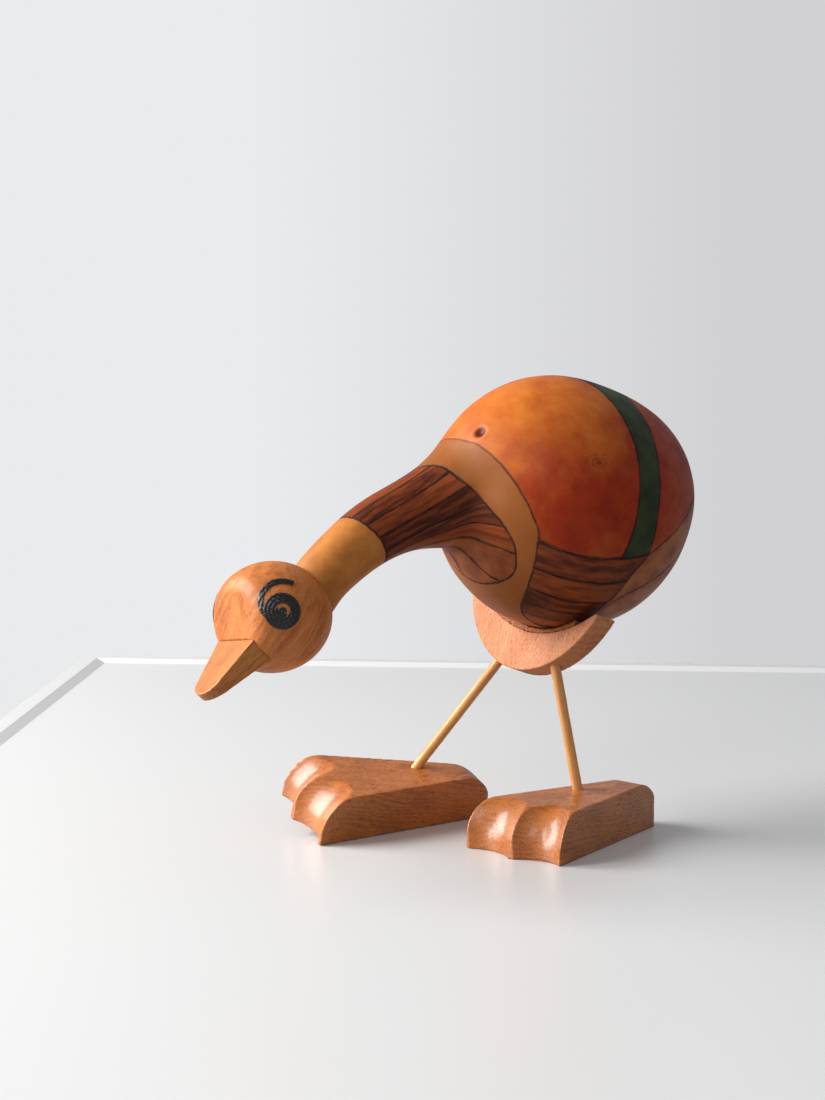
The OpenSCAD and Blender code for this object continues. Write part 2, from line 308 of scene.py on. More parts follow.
# Angles of those lines from the top of the neck, at the ring and at the bib's far edge
BIB_LINES_AT_RING = (19, 49, 82, 113, 135, 158, 180)
BIB_LINES_AT_EDGE = (9, 37, 62, 86, 104, 120, 145)
BIB_LENGTH = 68 * MM
# The usual angle between two of them, and the wider ones beyond the first line and the last
BIB_LINE_ANGLE = 26
BIB_OUTER_ANGLE = 30
# Distances of the wing's lines below its upper edge, in millimetres
WING_LINES_AT = (0, 18, 34, 46, 58, 70)
WING_LINE_GAP = 14
# The pit and the scar, in degrees round and up from the middle of the bulb
PIT_AT = (10, 34.5)
SCAR_AT = (72, 24)
SCAR_SQUASH = (1, 1, 1.5)
# The skin's relief in millimetres: dents and ripples, the pit with the rim round it, and the scar
DENT_WIDTH, DENT_HEIGHT = 34, 0.45
RIPPLE_WIDTH, RIPPLE_HEIGHT = 13, 0.12
PIT_RADIUS, PIT_DEPTH = 2.8, 1.8
PIT_RIM_RADIUS, PIT_RIM_WIDTH, PIT_RIM_HEIGHT = 5.2, 1.6, 0.3
SCAR_RADIUS, SCAR_DEPTH = 3.0, 0.35
# How far burned lines waver in millimetres, slowly and quickly, and over what width
SLOW_WAVER, SLOW_WAVER_WIDTH = 0.9, 22
QUICK_WAVER, QUICK_WAVER_WIDTH = 0.35, 7


def sphere_point(around, up):
    """A direction from the middle of the bulb, given in degrees."""
    a, e = turned(around, up)
    return np.array([math.sin(a) * math.cos(e), -math.cos(a) * math.cos(e), math.sin(e)])


def smooth_line(keys, closed=False, steps=8):
    """Directions along a smooth line through the keys, by the Catmull-Rom formula."""
    stops = [sphere_point(*k) for k in keys]
    count = len(stops)
    if closed:
        stops = [stops[-1]] + stops + stops[:2]
    else:
        stops = [2 * stops[0] - stops[1]] + stops + [2 * stops[-1] - stops[-2]]
        count -= 1
    line = []
    for i in range(count):
        a, b, c, d = stops[i:i + 4]
        for t in np.arange(steps) / steps:
            p = 0.5 * (2 * b + (c - a) * t + (2 * a - 5 * b + 4 * c - d) * t ** 2
                       + (3 * b - a - 3 * c + d) * t ** 3)
            line.append(p / np.linalg.norm(p))
    if not closed:
        line.append(stops[-2])
    return np.array(line)


def mirrored(line):
    """A line down the bird's left side, with its mirror image added to make a closed loop."""
    return np.vstack([line, (line * [-1, 1, 1])[::-1]])


def flat_map(directions, pole):
    """Directions as points on a flat map around the pole, with true angles from it."""
    side = np.cross(pole, [1.0, 0.0, 0.0] if abs(pole[0]) < 0.9 else [0.0, 1.0, 0.0])
    side /= np.linalg.norm(side)
    other = np.cross(pole, side)
    angle = np.arccos(np.clip(directions @ pole, -1, 1))
    turn = np.arctan2(directions @ other, directions @ side)
    return np.stack([angle * np.cos(turn), angle * np.sin(turn)], 1)


def inside(points, loop):
    """Whether each point of a map lies inside a closed loop."""
    result = np.zeros(len(points), bool)
    x, y = points[:, 0], points[:, 1]
    for (x0, y0), (x1, y1) in zip(loop, np.roll(loop, -1, 0)):
        crosses = (y0 > y) != (y1 > y)
        if crosses.any():
            at = x0 + (y - y0) * (x1 - x0) / (y1 - y0 + 1e-12)
            result ^= crosses & (x < at)
    return result


def distance_to(directions, radius, line, closed=True):
    """Distance in millimetres from each direction, at its radius, to a line on the sphere."""
    best = np.full(len(directions), 9.0)
    ends = np.roll(line, -1, 0) if closed else line[1:]
    for a, b in zip(line, ends):
        run = b - a
        length = run @ run
        if length > 1e-12:
            t = np.clip(((directions - a) @ run) / length, 0, 1)
            gap = directions - a - t[:, None] * run
            best = np.minimum(best, (gap * gap).sum(1))
    return np.sqrt(best) * radius / MM


def area_field(directions, radius, loop, pole):
    """Signed distance to the edge of an area, in millimetres: above 0 inside it. The pole is a
    direction inside the area, or near its middle."""
    pole = np.array(pole) / np.linalg.norm(pole)
    distance = distance_to(directions, radius, loop)
    within = inside(flat_map(directions, pole), flat_map(loop, pole))
    return np.where(within, distance, -distance)


# ---- gourd: its mesh ----
def connected_faces(bm):
    """The groups of faces that hang together."""
    groups, seen = [], set()
    for face in bm.faces:
        if face in seen:
            continue
        group, queue = [], [face]
        seen.add(face)
        while queue:
            here = queue.pop()
            group.append(here)
            for edge in here.edges:
                for near in edge.link_faces:
                    if near not in seen:
                        seen.add(near)
                        queue.append(near)
        groups.append(group)
    return groups


def gourd_mesh():
    """The outer skin of the gourd shell, mostly in four-sided faces."""
    mesh = welded_copy("gourd_shell")
    bm = bmesh.new()
    bm.from_mesh(mesh)
    bm.normal_update()
    rim = [e for e in bm.edges if len(e.link_faces) == 2 and e.calc_face_angle() > RIM_ANGLE]
    bmesh.ops.split_edges(bm, edges=rim)
    bm.faces.ensure_lookup_table()
    skin = set(max(connected_faces(bm), key=lambda faces: sum(f.calc_area() for f in faces)))
    bmesh.ops.delete(bm, geom=[f for f in bm.faces if f not in skin], context="FACES")
    bmesh.ops.join_triangles(bm, faces=bm.faces, angle_face_threshold=math.radians(60),
                             angle_shape_threshold=math.radians(120))
    bm.to_mesh(mesh)
    bm.free()
    return mesh


def from_bulb(points):
    """Directions from the middle of the bulb, and distances from it in metres."""
    out = points - np.array(BULB)
    radius = np.linalg.norm(out, axis=1)
    return out / radius[:, None], radius


def store_areas(mesh, points, wobble):
    """Stores how far inside each panel a vertex lies, in millimetres, and its place among the lines
    of the wing, whole numbers being lines."""
    directions, radius = from_bulb(points)
    folded = directions.copy()
    folded[:, 0] = np.abs(folded[:, 0])
    bib = area_field(directions, radius, smooth_line(BIB_EDGE, closed=True), (0.1, -1, -0.1))
    back_edge = smooth_line(BACK_EDGE)
    back_loop = mirrored(np.vstack([smooth_line(COLLAR_EDGE), back_edge]))
    back = area_field(directions, radius, back_loop, (0, 0.2, 1))
    wing_top = smooth_line(BACK_EDGE[:WING_TOP_KEYS])[::-1]
    wing_loop = np.vstack([smooth_line(WING_FRONT), smooth_line(WING_REAR), wing_top])
    wing = area_field(folded, radius, wing_loop, (0.8, -0.2, -0.6))
    rump = area_field(directions, radius, mirrored(smooth_line(RUMP_EDGE)), (0, 0.6, -1))
    store(mesh, "bib", bib + wobble)
    store(mesh, "back", back + wobble)
    store(mesh, "wing", wing + wobble)
    store(mesh, "rump", rump + wobble)
    below_edge = distance_to(folded, radius, back_edge, closed=False) + 1.5 * wobble
    store(mesh, "wing_line", np.interp(below_edge, WING_LINES_AT, np.arange(len(WING_LINES_AT))))


def store_bands(mesh, points, wobble):
    """Stores distances in millimetres from the ring round the neck and the green band's edges."""
    ring = (points - np.array(RING_AT)) @ np.array(RING_ACROSS) / MM
    store(mesh, "ring", ring + 0.5 * wobble)
    from_middle = (points - np.array(BULB)) / MM
    from_middle[:, 0] = np.hypot(from_middle[:, 0], BAND_ROUNDING)
    for name, (across, at) in (("band_front", BAND_FRONT), ("band_rear", BAND_REAR)):
        store(mesh, name, (from_middle - np.array(at)) @ np.array(across) + wobble)


def store_bib_lines(mesh, points, wobble):
    """Stores each vertex's place among the bib's lines, whole numbers being lines, and their gap."""
    bow = points - np.array(BIB_AXIS_FROM)
    run = bow @ np.array(BIB_AXIS)
    upward = BIB_AXIS.cross(Vector((-1, 0, 0)))
    height = bow @ np.array(upward)
    angle = np.degrees(np.arctan2(np.abs(bow[:, 0]), height))
    share = np.clip(run / BIB_LENGTH, 0, 1)
    at_ring = np.interp(angle, BIB_LINES_AT_RING, np.arange(len(BIB_LINES_AT_RING)))
    at_ring += np.minimum(0, (angle - BIB_LINES_AT_RING[0]) / BIB_OUTER_ANGLE)
    at_edge = np.interp(angle, BIB_LINES_AT_EDGE, np.arange(len(BIB_LINES_AT_EDGE)))
    at_edge += np.minimum(0, (angle - BIB_LINES_AT_EDGE[0]) / BIB_LINE_ANGLE)
    at_edge += np.maximum(0, (angle - BIB_LINES_AT_EDGE[-1]) / BIB_OUTER_ANGLE)
    reach = np.hypot(bow[:, 0], height) / MM
    store(mesh, "bib_line", at_ring + (at_edge - at_ring) * share + 0.05 * wobble)
    store(mesh, "bib_line_gap", reach * math.radians(BIB_LINE_ANGLE))


def gourd_fields(mesh):
    """Stores where each vertex lies against every panel and burned line, which all waver a little."""
    points = points_of(mesh)
    wobble = SLOW_WAVER * lumps(points, SLOW_WAVER_WIDTH * MM, 1)
    wobble += QUICK_WAVER * lumps(points, QUICK_WAVER_WIDTH * MM, 2)
    store_areas(mesh, points, wobble)
    store_bands(mesh, points, wobble)
    store_bib_lines(mesh, points, wobble)


def gourd_relief(mesh):
    """Soft dents all over, a small pit with a raised rim, and a hollow at the scar, in millimetres."""
    points = points_of(mesh)
    normals = normals_of(mesh)
    directions, radius = from_bulb(points)
    height = DENT_HEIGHT * lumps(points, DENT_WIDTH * MM, 3)
    height += RIPPLE_HEIGHT * lumps(points, RIPPLE_WIDTH * MM, 4)
    pit = np.linalg.norm(directions - sphere_point(*PIT_AT), axis=1) * radius / MM
    height -= PIT_DEPTH * np.exp(-(pit / PIT_RADIUS) ** 2)
    height += PIT_RIM_HEIGHT * np.exp(-((pit - PIT_RIM_RADIUS) / PIT_RIM_WIDTH) ** 2)
    scar = np.linalg.norm((directions - sphere_point(*SCAR_AT)) * SCAR_SQUASH, axis=1) * radius / MM
    height -= SCAR_DEPTH * np.exp(-(scar / SCAR_RADIUS) ** 2)
    move_points(mesh, points + normals * height[:, None] * MM)
    store(mesh, "pit", pit)
    store(mesh, "scar", scar)


# ---- gourd: its skin ----
# Dyes, most of them as a pair of tones that mottle into each other
TAN = (srgb(204, 130, 58), srgb(170, 98, 38))
CLOUDED_TAN = srgb(146, 80, 30)
# Painted shade: the tan darkens to this towards the bottom of the gourd
LOW_SHADE_TAN = srgb(156, 84, 30)
# Painted shade: the collar's tan darkens to this just behind the ring round the neck
COLLAR_SHADE_TAN = srgb(136, 72, 26)
RUMP_TAN = (srgb(170, 98, 52), srgb(134, 68, 34))
ORANGE = (srgb(210, 120, 42), srgb(192, 92, 24))
# Partly the real red dye and partly painted shade: darker for the lower and rear bulb
RED_AND_SHADE = (srgb(166, 50, 4), srgb(140, 32, 2))
GREEN = (srgb(52, 66, 34), srgb(32, 42, 22))
STRIPE_BROWN = (srgb(146, 66, 22), srgb(74, 26, 8))
CLOUDED_BROWN = srgb(62, 22, 6)
BREAST_BROWN = (srgb(168, 88, 34), srgb(122, 56, 20))
SCORCH = srgb(36, 16, 10)
PIT_RED = srgb(100, 28, 14)
KNOT_BROWN = srgb(84, 34, 14)
# Widths of the burned lines, in millimetres
LINE_WIDTH = 1.0
PANEL_LINE_WIDTH = 0.9
RUMP_LINE_WIDTH = 0.8
STRIPE_LINE_WIDTH = 1.1
LINE_FADE = 0.35
SKIN_RELIEF = 0.35 * MM


class SkinShader(Shader):
    """The gourd's material, with the noises and areas that its parts share."""

    def __init__(self):
        super().__init__("dyed_skin")
        self.where = self.place()
        place = self.node("SeparateXYZ", {"Vector": self.where})
        self.rearward, self.high = place.outputs[1], place.outputs[2]
        self.cloud = self.noise(self.where, 0.03, 4.0, 0.6)
        self.mottle = self.noise(self.where, 0.075, 5.0, 0.58)
        self.fine = self.noise(self.where, 0.7, 4.0, 0.6)
        self.behind_band = self.step(self.attribute("band_front"), -8.0, -14.0)
        self.in_back = self.area("back")
        self.in_wing = self.area("wing")
        behind_ring = self.step(self.attribute("ring"), 0.3, -0.3)
        self.in_bib = self.math("MULTIPLY", self.area("bib"), behind_ring)

    def area(self, name):
        """1 inside the named panel and 0 outside, with the soft edge of a dye."""
        return self.step(self.attribute(name), -0.3, 0.3)

    def burned(self, distance, width=LINE_WIDTH):
        """1 on a line: distance in millimetres is signed, and noise makes the width uneven."""
        half = self.math("ADD", width / 2, self.step(self.fine, 0.3, 0.7, -0.22, 0.22))
        beyond = self.math("SUBTRACT", self.math("ABSOLUTE", distance), half)
        return self.step(beyond, 0.0, LINE_FADE, 1.0, 0.0)

    def burned_edge(self, name, width=LINE_WIDTH):
        return self.burned(self.attribute(name), width)

    def burned_stripes(self, index, gap):
        """1 on each line of a panel: index is a whole number on a line, and gap is in millimetres."""
        off = self.math("SUBTRACT", index, self.math("ROUND", index))
        return self.burned(self.math("MULTIPLY", off, gap), STRIPE_LINE_WIDTH)

    def all_of(self, *values):
        product = values[0]
        for value in values[1:]:
            product = self.math("MULTIPLY", product, value)
        return product

    def any_of(self, *values):
        strongest = values[0]
        for value in values[1:]:
            strongest = self.math("MAXIMUM", strongest, value)
        return strongest


def tan_skin(s):
    """The undyed tan, redder on the rump, with painted shade: darker towards the belly and on the collar just
    behind the ring round the neck.
    """
    tan = s.mix(s.step(s.mottle, 0.25, 0.8), *TAN)
    tan = s.mix(s.step(s.cloud, 0.45, 0.75, 0, 0.5), tan, CLOUDED_TAN)
    # Painted shade: darker towards the bottom
    tan = s.mix(s.step(s.high, 200.0, 120.0, 0, 0.6), tan, LOW_SHADE_TAN)
    # Painted shade: darker on the collar just behind the ring
    tan = s.mix(s.step(s.attribute("ring"), 0.0, -12.0, 0, 0.75), tan, COLLAR_SHADE_TAN)
    rump_tan = s.mix(s.step(s.mottle, 0.35, 0.7), *RUMP_TAN)
    return s.mix(s.behind_band, tan, rump_tan)


def back_dye(s):
    """Orange above and red below and behind, with the green band across. The red is partly the real dye and
    partly painted shade, being darker as well as redder.
    """
    orange = s.mix(s.step(s.mottle, 0.25, 0.8), *ORANGE)
    red = s.mix(s.step(s.mottle, 0.25, 0.8), *RED_AND_SHADE)
    height = s.math("SUBTRACT", s.high, s.math("MULTIPLY", s.rearward, 0.4))
    # Red below and behind: partly real dye, partly painted shade towards the bottom and rear
    red_and_shade = s.math("ADD", s.step(height, 272.0, 188.0), s.step(s.cloud, 0.3, 0.72, -0.25, 0.25), clamp=True)
    red_and_shade = s.any_of(red_and_shade, s.step(s.attribute("band_rear"), 0.0, -3.0, 0.0, 0.8))
    green = s.mix(s.step(s.mottle, 0.3, 0.7), *GREEN)
    in_band = s.all_of(s.math("LESS_THAN", s.attribute("band_front"), 0.0),
                       s.math("GREATER_THAN", s.attribute("band_rear"), 0.0))
    return s.mix(in_band, s.mix(red_and_shade, orange, red), green)


def striped(s, index, along):
    """Brown of a striped panel: each stripe has its own depth, and streaks run along it."""
    at = s.node("CombineXYZ", {"X": s.math("MULTIPLY", index, 3.5), "Y": s.math("MULTIPLY", along, 0.05)})
    streak = s.noise(at.outputs[0], 1.0, 4.0, 0.55)
    stripe = s.node("TexWhiteNoise", {"W": s.math("FLOOR", index)}, noise_dimensions="1D").outputs[0]
    depth = s.math("ADD", s.step(streak, 0.3, 0.7), s.step(stripe, 0.0, 1.0, -0.35, 0.35), clamp=True)
    return s.mix(s.step(s.cloud, 0.4, 0.75, 0, 0.4), s.mix(depth, *STRIPE_BROWN), CLOUDED_BROWN)


def bib_dye(s):
    """Striped on the neck, and plain below the last of the stripes, on the breast."""
    breast = s.mix(s.step(s.mottle, 0.3, 0.7), *BREAST_BROWN)
    index = s.attribute("bib_line")
    return s.mix(s.step(index, 4.6, 5.4), striped(s, index, s.attribute("ring")), breast)


def burned_lines(s):
    """1 on every line burned into the gourd."""
    behind_ring = s.step(s.attribute("ring"), 0.5, 0.0)
    off_neck = s.step(s.attribute("bib"), 0.5, -0.2)
    faint_on_top = s.any_of(s.step(s.high, 262.0, 225.0, 0.3, 1.0), s.behind_band)
    on_back = s.math("GREATER_THAN", s.attribute("back"), -0.5)
    open_skin = s.all_of(s.math("SUBTRACT", 1.0, s.in_wing), s.step(s.attribute("back"), 1.0, 0.0))
    return s.any_of(
        s.all_of(s.burned_edge("bib"), behind_ring),
        s.burned_edge("ring"),
        s.all_of(s.burned_edge("back", PANEL_LINE_WIDTH), off_neck, faint_on_top),
        s.burned_edge("wing"),
        s.all_of(s.any_of(s.burned_edge("band_front"), s.burned_edge("band_rear")), on_back),
        s.all_of(s.burned_stripes(s.attribute("bib_line"), s.attribute("bib_line_gap")), s.in_bib),
        s.all_of(s.burned_stripes(s.attribute("wing_line"), WING_LINE_GAP), s.in_wing),
        s.all_of(s.burned_edge("rump", RUMP_LINE_WIDTH), open_skin, s.behind_band),
    )


def knot(s):
    """1 on the marks of the scar: a dark middle, a ring round it, and broken arcs further out."""
    distance = s.attribute("scar")
    uneven = s.math("MULTIPLY", s.math("SUBTRACT", s.noise(s.where, 0.16, 2.0), 0.5), 26.0)
    arcs = s.step(s.math("SINE", s.math("MULTIPLY", s.math("ADD", distance, uneven), 1.1)), 0.8, 1.0)
    arcs = s.all_of(arcs, s.step(distance, 17.0, 5.0, 0.0, 0.42))
    near = s.math("ADD", distance, s.math("MULTIPLY", uneven, 0.22))
    eyelet = s.step(s.math("ABSOLUTE", s.math("SUBTRACT", near, 4.2)), 1.0, 0.2, 0.0, 0.5)
    return s.any_of(arcs, eyelet, s.step(near, 2.6, 1.2, 0.0, 0.7))


def dyed_skin():
    """Varnished gourd skin with dyed panels and burned lines."""
    s = SkinShader()
    colour = s.mix(s.in_back, tan_skin(s), back_dye(s))
    colour = s.mix(s.in_wing, colour, striped(s, s.attribute("wing_line"), s.rearward))
    colour = s.mix(s.in_bib, colour, bib_dye(s))
    lines = burned_lines(s)
    scorched = s.all_of(lines, s.step(s.mottle, 0.35, 0.6, 0.62, 0.92))
    colour = s.mix(scorched, colour, SCORCH)
    colour = s.mix(s.step(s.attribute("pit"), 4.8, 2.8), colour, PIT_RED)
    colour = s.mix(knot(s), colour, KNOT_BROWN)
    relief = s.math("SUBTRACT", s.math("MULTIPLY", s.fine, 0.12), s.math("MULTIPLY", lines, 0.8))
    sheen = s.math("ADD", s.step(s.mottle, 0.3, 0.7, 0.40, 0.50), s.math("MULTIPLY", lines, 0.2))
    return s.finish(colour, sheen, relief, SKIN_RELIEF, Specular_IOR_Level=0.22, Coat_Weight=0.03,
                    Coat_Roughness=0.2)


def gourd():
    obj = add_object("gourd_skin", gourd_mesh())
    smooth = obj.modifiers.new("round", "SUBSURF")
    smooth.levels = SKIN_LEVELS
    smooth.render_levels = SKIN_LEVELS
    settle(obj)
    gourd_fields(obj.data)
    gourd_relief(obj.data)
    finish_piece(obj, "gourd_shell", dyed_skin())


# ---- head, beak and eyes ----
head_low, head_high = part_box("head")
HEAD_R = (head_high.x - head_low.x) / 2
HEAD = Vector(((head_low.x + head_high.x) / 2, head_high.y - HEAD_R, (head_low.z + head_high.z) / 2))
# The CAD's own values for the turned ball, a little flatter than a sphere
HEAD_HALF_W = 36.0 * MM
HEAD_HALF_H = 33.4 * MM
HEAD_ROLL, HEAD_YAW = turned(8.5, 5.5)
HEAD_TURN = Matrix.Rotation(HEAD_YAW, 3, "Z") @ Matrix.Rotation(-HEAD_ROLL, 3, "Y")
# The CAD's cut that leaves a flat face: along the beak's top, then up from the beak's root
BEAK_PITCH, FACE_LEAN = turned(45, 2)
BEAK_TOP = 11.6 * MM
BEAK_ROOT = 27.25 * MM
# How softly the face meets the ball: as eased in the visible head, and as the CAD cuts it
FACE_SOFTNESS = 4.5 * MM
SHARP = 0.01 * MM


def head_surface(points, softness):
    """Height of each point above the head's surface, and the way out of the wood there. The edge
    between the ball and its flat face is rounded over about the given distance."""
    turn = np.array(HEAD_TURN)
    local = (points - np.array(HEAD)) @ turn
    halves = np.array([HEAD_HALF_W, HEAD_HALF_W, HEAD_HALF_H])
    over_ball = (np.linalg.norm(local / halves, axis=1) - 1) * HEAD_HALF_W
    beak_up = np.array([0, -math.sin(BEAK_PITCH), math.cos(BEAK_PITCH)])
    beak_ahead = np.array([0, -math.cos(BEAK_PITCH), -math.sin(BEAK_PITCH)])
    face_out = np.array([0, -math.cos(FACE_LEAN), math.sin(FACE_LEAN)])
    from_root = local - BEAK_TOP * beak_up - BEAK_ROOT * beak_ahead
    over_face, over_beak = from_root @ face_out, from_root @ beak_up
    over_cut = np.minimum(over_face, over_beak)
    cut_out = np.where((over_face < over_beak)[:, None], face_out, beak_up)
    ball_share = np.clip(0.5 + (over_ball - over_cut) / (2 * softness), 0, 1)
    height = ball_share * over_ball + (1 - ball_share) * over_cut
    height += softness * ball_share * (1 - ball_share)
    out = ball_share[:, None] * local / np.linalg.norm(local, axis=1)[:, None]
    out += (1 - ball_share[:, None]) * cut_out
    out /= np.linalg.norm(out, axis=1)[:, None]
    return height, out @ turn.T


def head():
    obj = eased_copy("head", "head_ball", 0.8 * MM, 3)
    points = points_of(obj.data)
    # Only the outside is drawn to the soft surface, and the notch and sockets are left alone
    skin_depth, fade = 0.8 * MM, 0.4 * MM
    for _ in range(3):
        height, out = head_surface(points, FACE_SOFTNESS)
        near = np.clip((height + skin_depth) / fade, 0, 1)
        points = points - (near * height)[:, None] * out
    move_points(obj.data, points)
    heart = HEAD + Vector((30, 26, -34)) * MM
    material = wood("head_wood", srgb(218, 134, 66), srgb(166, 86, 38), srgb(110, 50, 20),
                    turned(-40, -58, 62), heart, ring=5.0, ring_share=0.42, gloss=0.42, pore_share=0.25,
                    coat=0.05)
    finish_piece(obj, "head", material)


def beak():
    obj = eased_copy("beak", "beak_blade", 0.5 * MM, 3)
    low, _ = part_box("beak")
    heart = low - Vector((0, 0, 30)) * MM
    material = wood("beak_wood", srgb(202, 126, 56), srgb(158, 82, 30), srgb(110, 52, 20),
                    turned(0, 40, -90), heart, ring=2.6, ring_share=0.45, gloss=0.32)
    finish_piece(obj, "beak", material)


# Where each eye's middle lies on the ball, turned back from the side and lifted
EYE_YAW, EYE_LIFT = turned(25, 6)
RIDGE_STEP = 2.2 * MM
RIDGE_HEIGHT = 0.3 * MM
BEAD_STEP = 0.45 * MM
# Paint nearer to the wood than the first stays put, and beyond the sum of both takes the full ridges
PAINT_STILL = 0.2 * MM
PAINT_FADE = 0.4 * MM


def eye_paint():
    s = Shader("raised_paint")
    grime = s.noise(s.place(), 1.2, 4.0, 0.6)
    colour = s.mix(s.step(grime, 0.4, 0.75), srgb(6, 4, 5), srgb(26, 14, 12))
    return s.finish(colour, s.step(grime, 0.3, 0.7, 0.14, 0.24), grime, 0.4 * MM, Coat_Weight=0.35,
                    Coat_Roughness=0.05)


def eye(node, name, side, material):
    """One painted eye: ridges left by the brush run round its centre, broken into beads. The paint
    follows the head where its face is eased; side is 1 for the left eye and -1 for the right."""
    obj = eased_copy(node, name, 0.3 * MM, 2)
    eye_turn = Matrix.Rotation(-EYE_YAW * side, 3, "Z") @ Matrix.Rotation(-EYE_LIFT * side, 3, "Y")
    points = points_of(obj.data)
    local = (points - np.array(HEAD)) @ np.array(HEAD_TURN @ eye_turn)
    around = np.arctan2(local[:, 2], local[:, 1])
    from_centre = np.hypot(local[:, 1], local[:, 2])
    rings = np.cos(2 * math.pi * from_centre / RIDGE_STEP + around)
    beads = np.cos(around * np.round(from_centre / BEAD_STEP) + 3 * rings)
    height, _ = head_surface(points, SHARP)
    soft_height, out = head_surface(points, FACE_SOFTNESS)
    proud = np.clip((height - PAINT_STILL) / PAINT_FADE, 0, 1)
    ridges = proud * RIDGE_HEIGHT * (0.7 * rings + 0.5 * beads)
    sink = height - soft_height
    move_points(obj.data, points + normals_of(obj.data) * ridges[:, None] + sink[:, None] * out)
    finish_piece(obj, node, material)


# ---- saddle and glue ----
def saddle():
    """Bare sawn board with upright fibres."""
    obj = eased_copy("saddle", "saddle_block", 0.7 * MM, 3)
    low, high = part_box("saddle")
    heart = Vector((0, (low.y + high.y) / 2, high.z + 40 * MM))
    material = wood("saddle_wood", srgb(216, 146, 104), srgb(174, 102, 62), srgb(134, 68, 36),
                    turned(70, 90, 0), heart, ring=3.0, ring_share=0.35, gloss=0.6, coat=0.0)
    finish_piece(obj, "saddle", material)


def glue():
    """The rough brown bed of glue between the saddle and the gourd."""
    obj = eased_copy("saddle_glue", "saddle_glue_bead", 0.6 * MM, 2)
    points = points_of(obj.data)
    rough = lumps(points, 2.2 * MM, 5) * 0.7 + lumps(points, 0.9 * MM, 6) * 0.4
    move_points(obj.data, points + normals_of(obj.data) * rough[:, None] * MM)
    s = Shader("glue_bed")
    fuzz = s.noise(s.place(), 1.4, 5.0, 0.7)
    colour = s.mix(s.step(fuzz, 0.35, 0.65), srgb(206, 118, 52), srgb(84, 34, 12))
    finish_piece(obj, "saddle_glue", s.finish(colour, roughness=0.6, height=fuzz, depth=0.6 * MM))


# ---- legs ----
LEG_SIDES = 40
LEG_RINGS = 80
# Radius at the very ends, and how fast the rest of the leg reaches its full radius
END_RADIUS = 0.85
END_SLOPE = 12


def rod_faces():
    """Faces of a closed rod of LEG_RINGS rows, whose points come ring by ring."""
    faces = []
    for i in range(LEG_RINGS):
        for k in range(LEG_SIDES):
            a, b = i * LEG_SIDES + k, i * LEG_SIDES + (k + 1) % LEG_SIDES
            faces.append((a, b, b + LEG_SIDES, a + LEG_SIDES))
    faces.append(tuple(reversed(range(LEG_SIDES))))
    faces.append(tuple(LEG_RINGS * LEG_SIDES + k for k in range(LEG_SIDES)))
    return faces


def leg(node, name, wave, material):
    """A stock dowel along its CAD node, not quite even, with lightly broken ends; wave in radians
    shifts the unevenness, so that the two legs differ."""
    points = points_of(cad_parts[node].data)
    centre = points.mean(0)
    axis = long_axis(points)
    axis *= np.sign(axis[2])
    runs = (points - centre) @ axis
    side = np.cross(axis, [0.0, 1.0, 0.0])
    side /= np.linalg.norm(side)
    other = np.cross(axis, side)
    radius = np.linalg.norm(points - centre - runs[:, None] * axis, axis=1).max()
    verts = []
    for i in range(LEG_RINGS + 1):
        share = i / LEG_RINGS
        run = runs.min() + share * (runs.max() - runs.min())
        ease = min(1.0, END_RADIUS + END_SLOPE * min(share, 1 - share))
        for k in range(LEG_SIDES):
            turn = 2 * math.pi * k / LEG_SIDES
            out = math.cos(turn) * side + math.sin(turn) * other
            uneven = 1 + 0.006 * math.sin(2 * turn + wave) + 0.004 * math.sin(9 * share + wave)
            verts.append(centre + run * axis + radius * ease * uneven * out)
    mesh = bpy.data.meshes.new(name)
    mesh.from_pydata([tuple(v) for v in verts], [], rod_faces())
    finish_piece(add_object(name, mesh), node, material)


def dowel_wood(name, node):
    """Pale dowel wood whose fibres run along the given CAD node."""
    points = points_of(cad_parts[node].data)
    turn = Vector(long_axis(points)).to_track_quat("X", "Z").to_euler()
    heart = Vector(points.mean(0)) + Vector((0, 0, 30)) * MM
    return wood(name, srgb(240, 178, 108), srgb(210, 138, 74), srgb(164, 96, 48), turn, heart, ring=2.2,
                ring_share=0.3, gloss=0.3, pore_share=0.35)


# ---- feet ----
def foot(node, name, heading, roll):
    """One carved foot; heading is where its toes point, in degrees around Z from +X, and roll is
    how far it leans on its edge. Its fibres rise a little towards the toes."""
    obj = eased_copy(node, name, 0.8 * MM, 3)
    low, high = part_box(node)
    heart = Vector(((low.x + high.x) / 2, (low.y + high.y) / 2, low.z - 60 * MM))
    material = wood(name + "_wood", srgb(212, 126, 52), srgb(160, 80, 24), srgb(84, 34, 10),
                    turned(roll, -7, heading), heart, ring=3.2, ring_share=0.45, gloss=0.34,
                    pore_share=0.65, coat=0.4)
    finish_piece(obj, node, material)


# ---- hidden pieces ----
def plain_inside(node, material):
    """A CAD node that is kept as it is, with a material of its own."""
    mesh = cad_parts[node].data
    mesh.materials.clear()
    mesh.materials.append(material)


# ---- camera ----
# The camera stands this far round from the bird's front towards its left side, and looks this far
# down; its place is given back from the bird, to its own right and up from the tabletop, in metres
VIEW_AZIMUTH, VIEW_PITCH = turned(57.5, 6.8)
VIEW_BACK = 1.5881
VIEW_SIDE = -0.0212
VIEW_HEIGHT = 0.371
# The lens, as pixels of the 825 x 1100 frame
FOCAL_PIXELS = 2600
IMAGE_LONG_SIDE = 1100
SENSOR = 36.0
# Level directions away from the camera and to its right
AHEAD = Vector((-math.sin(VIEW_AZIMUTH), math.cos(VIEW_AZIMUTH), 0))
ASIDE = Vector((math.cos(VIEW_AZIMUTH), math.sin(VIEW_AZIMUTH), 0))


